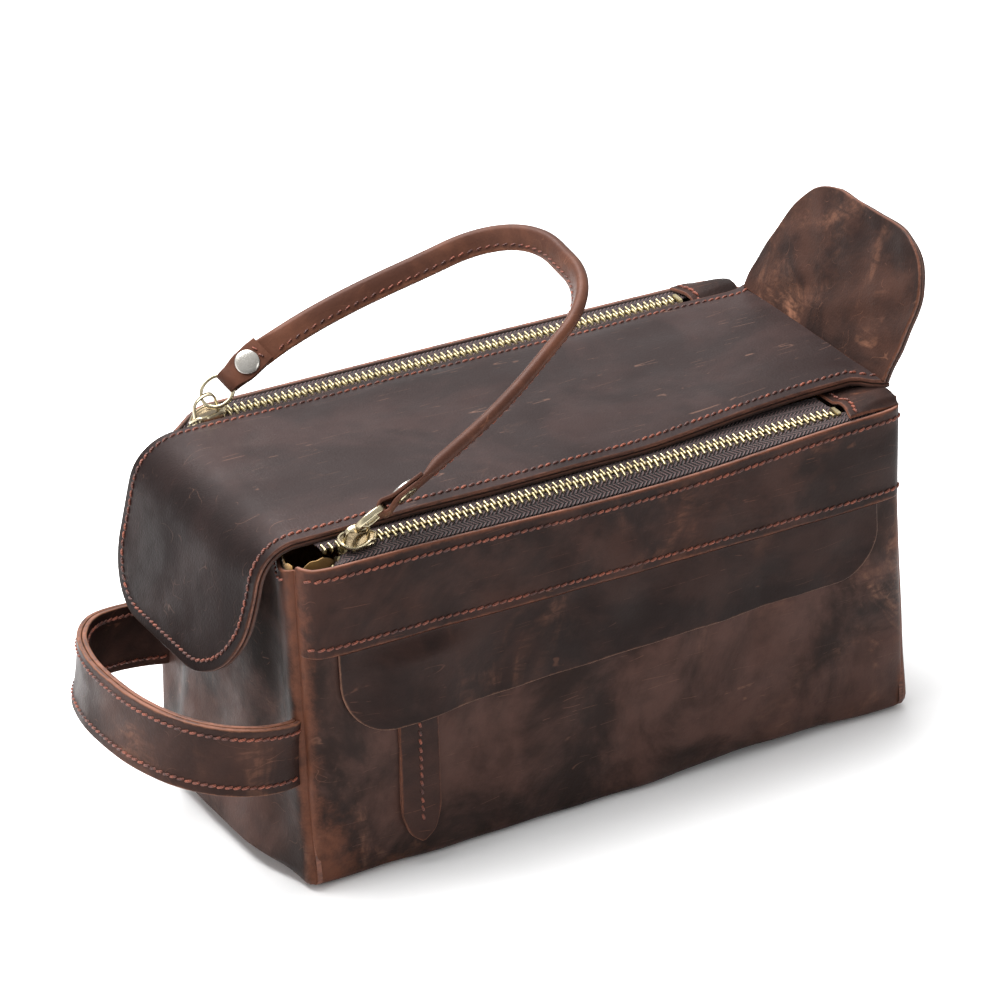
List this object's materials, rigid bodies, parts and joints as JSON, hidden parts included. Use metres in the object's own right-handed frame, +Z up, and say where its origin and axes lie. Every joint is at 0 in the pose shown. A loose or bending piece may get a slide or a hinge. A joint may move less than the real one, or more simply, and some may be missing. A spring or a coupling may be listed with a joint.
{
  "type": "shaving kit bag",
  "caption": "Boxy leather toiletry bag with a zipped lid and arched strap, hanging end tongue, standing end flap, flapped zip pocket and a side loop handle.",
  "frame": {"origin": "middle of the flat base, on the surface the bag stands on", "axes": "+X along the bag towards the standing end flap, +Y towards the back, +Z up; the pocket faces -Y and the loop handle is at -X"},
  "size_m": [0.3234, 0.1313, 0.1892],
  "materials": {
    "leather_body": "dark brown oiled pull-up leather, waxy, scuffed lighter at folds",
    "leather_trim": "dark brown oiled leather, smooth, cut edges left raw",
    "leather_back": "brown oiled leather, flesh side and raw edge showing",
    "lining_cloth": "golden yellow woven lining cloth",
    "zip_tape": "dark brown woven herringbone tape",
    "zip_brass": "antique brass, polished on the high spots",
    "hardware_brass": "antique brass, worn bright on the edges",
    "rivet_nickel": "polished nickel cap"
  },
  "bodies": {
    "root": {"body_wrap": "leather_body", "left_end_panel": "leather_body", "right_end_panel": "leather_body", "front_band": "leather_trim", "back_band": "leather_trim", "lining": "lining_cloth", "lid_end_outer": "leather_trim", "lid_end_inner": "leather_back", "end_patch_front": "leather_trim", "end_patch_rear": "leather_trim", "front_zip_tape_body": "zip_tape", "rear_zip_tape_body": "zip_tape", "front_zip_teeth_body": "zip_brass", "rear_zip_teeth_body": "zip_brass", "zip_end_stops": "zip_brass", "pocket_zip_teeth_upper": "zip_brass", "pocket_zip_teeth_lower": "zip_brass", "pocket_zip_tape_upper": "zip_tape", "pocket_zip_tape_lower": "zip_tape", "pocket_pouch": "lining_cloth"},
    "lid": {"lid_outer": "leather_trim", "lid_inner": "leather_back", "front_zip_tape_lid": "zip_tape", "rear_zip_tape_lid": "zip_tape", "front_zip_teeth_lid": "zip_brass", "rear_zip_teeth_lid": "zip_brass"},
    "tongue": {"tongue_outer": "leather_trim", "tongue_inner": "leather_back"},
    "slider_front": {"zip_slider_front": "hardware_brass"},
    "slider_rear": {"zip_slider_rear": "hardware_brass"},
    "strap": {"strap_leather": "leather_back", "strap_ring_front": "hardware_brass", "strap_ring_rear": "hardware_brass", "strap_rivet_front": "rivet_nickel", "strap_rivet_rear": "rivet_nickel"},
    "end_flap": {"end_flap_outer": "leather_trim", "end_flap_inner": "leather_back"},
    "pocket_flap": {"pocket_flap_leather": "leather_trim"},
    "pocket_slider": {"pocket_zip_slider": "hardware_brass"},
    "pocket_pull": {"pull_tab_outer": "leather_trim", "pull_tab_inner": "leather_back"},
    "side_handle": {"handle_outer": "leather_trim", "handle_inner": "leather_back"}
  },
  "joints": [
    {"name": "lid_fold", "type": "hinge", "parent": "root", "child": "lid", "pos_m": [0.09835, 0, 0.134], "axis": [0, 1, 0], "range_deg": [0, 95]},
    {"name": "tongue_fold", "type": "hinge", "parent": "lid", "child": "tongue", "pos_m": [-0.117, 0, 0.134], "axis": [0, 1, 0], "range_deg": [0, 95]},
    {"name": "front_zip_travel", "type": "slide", "parent": "lid", "child": "slider_front", "axis": [1, 0, 0], "range_m": [0, 0.185], "deforming": ["strap_leather"]},
    {"name": "rear_zip_travel", "type": "slide", "parent": "lid", "child": "slider_rear", "axis": [1, 0, 0], "range_m": [0, 0.185]},
    {"name": "strap_swing", "type": "hinge", "parent": "slider_front", "child": "strap", "pos_m": [-0.098, 0, 0.1325], "axis": [0, -1, 0], "range_deg": [-18, 147]},
    {"name": "end_flap_fold", "type": "hinge", "parent": "root", "child": "end_flap", "pos_m": [0.1253, 0, 0.1342], "axis": [0, 1, 0], "range_deg": [-20, 150]},
    {"name": "pocket_flap_lift", "type": "hinge", "parent": "root", "child": "pocket_flap", "pos_m": [0, -0.0641, 0.0907], "axis": [-1, 0, 0], "range_deg": [0, 150]},
    {"name": "pocket_zip_travel", "type": "slide", "parent": "root", "child": "pocket_slider", "axis": [1, 0, 0], "range_m": [0, 0.172]},
    {"name": "pocket_pull_swing", "type": "hinge", "parent": "pocket_slider", "child": "pocket_pull", "pos_m": [-0.082, -0.0635, 0.076], "axis": [0, 1, 0], "range_deg": [-20, 20]},
    {"name": "side_handle_swing", "type": "hinge", "parent": "root", "child": "side_handle", "pos_m": [-0.1262, 0, 0.0535], "axis": [0, 1, 0], "range_deg": [-20, 35]}
  ],
  "couplings": [
    {"joint": "rear_zip_travel", "follows": "front_zip_travel", "ratio": 1}
  ]
}
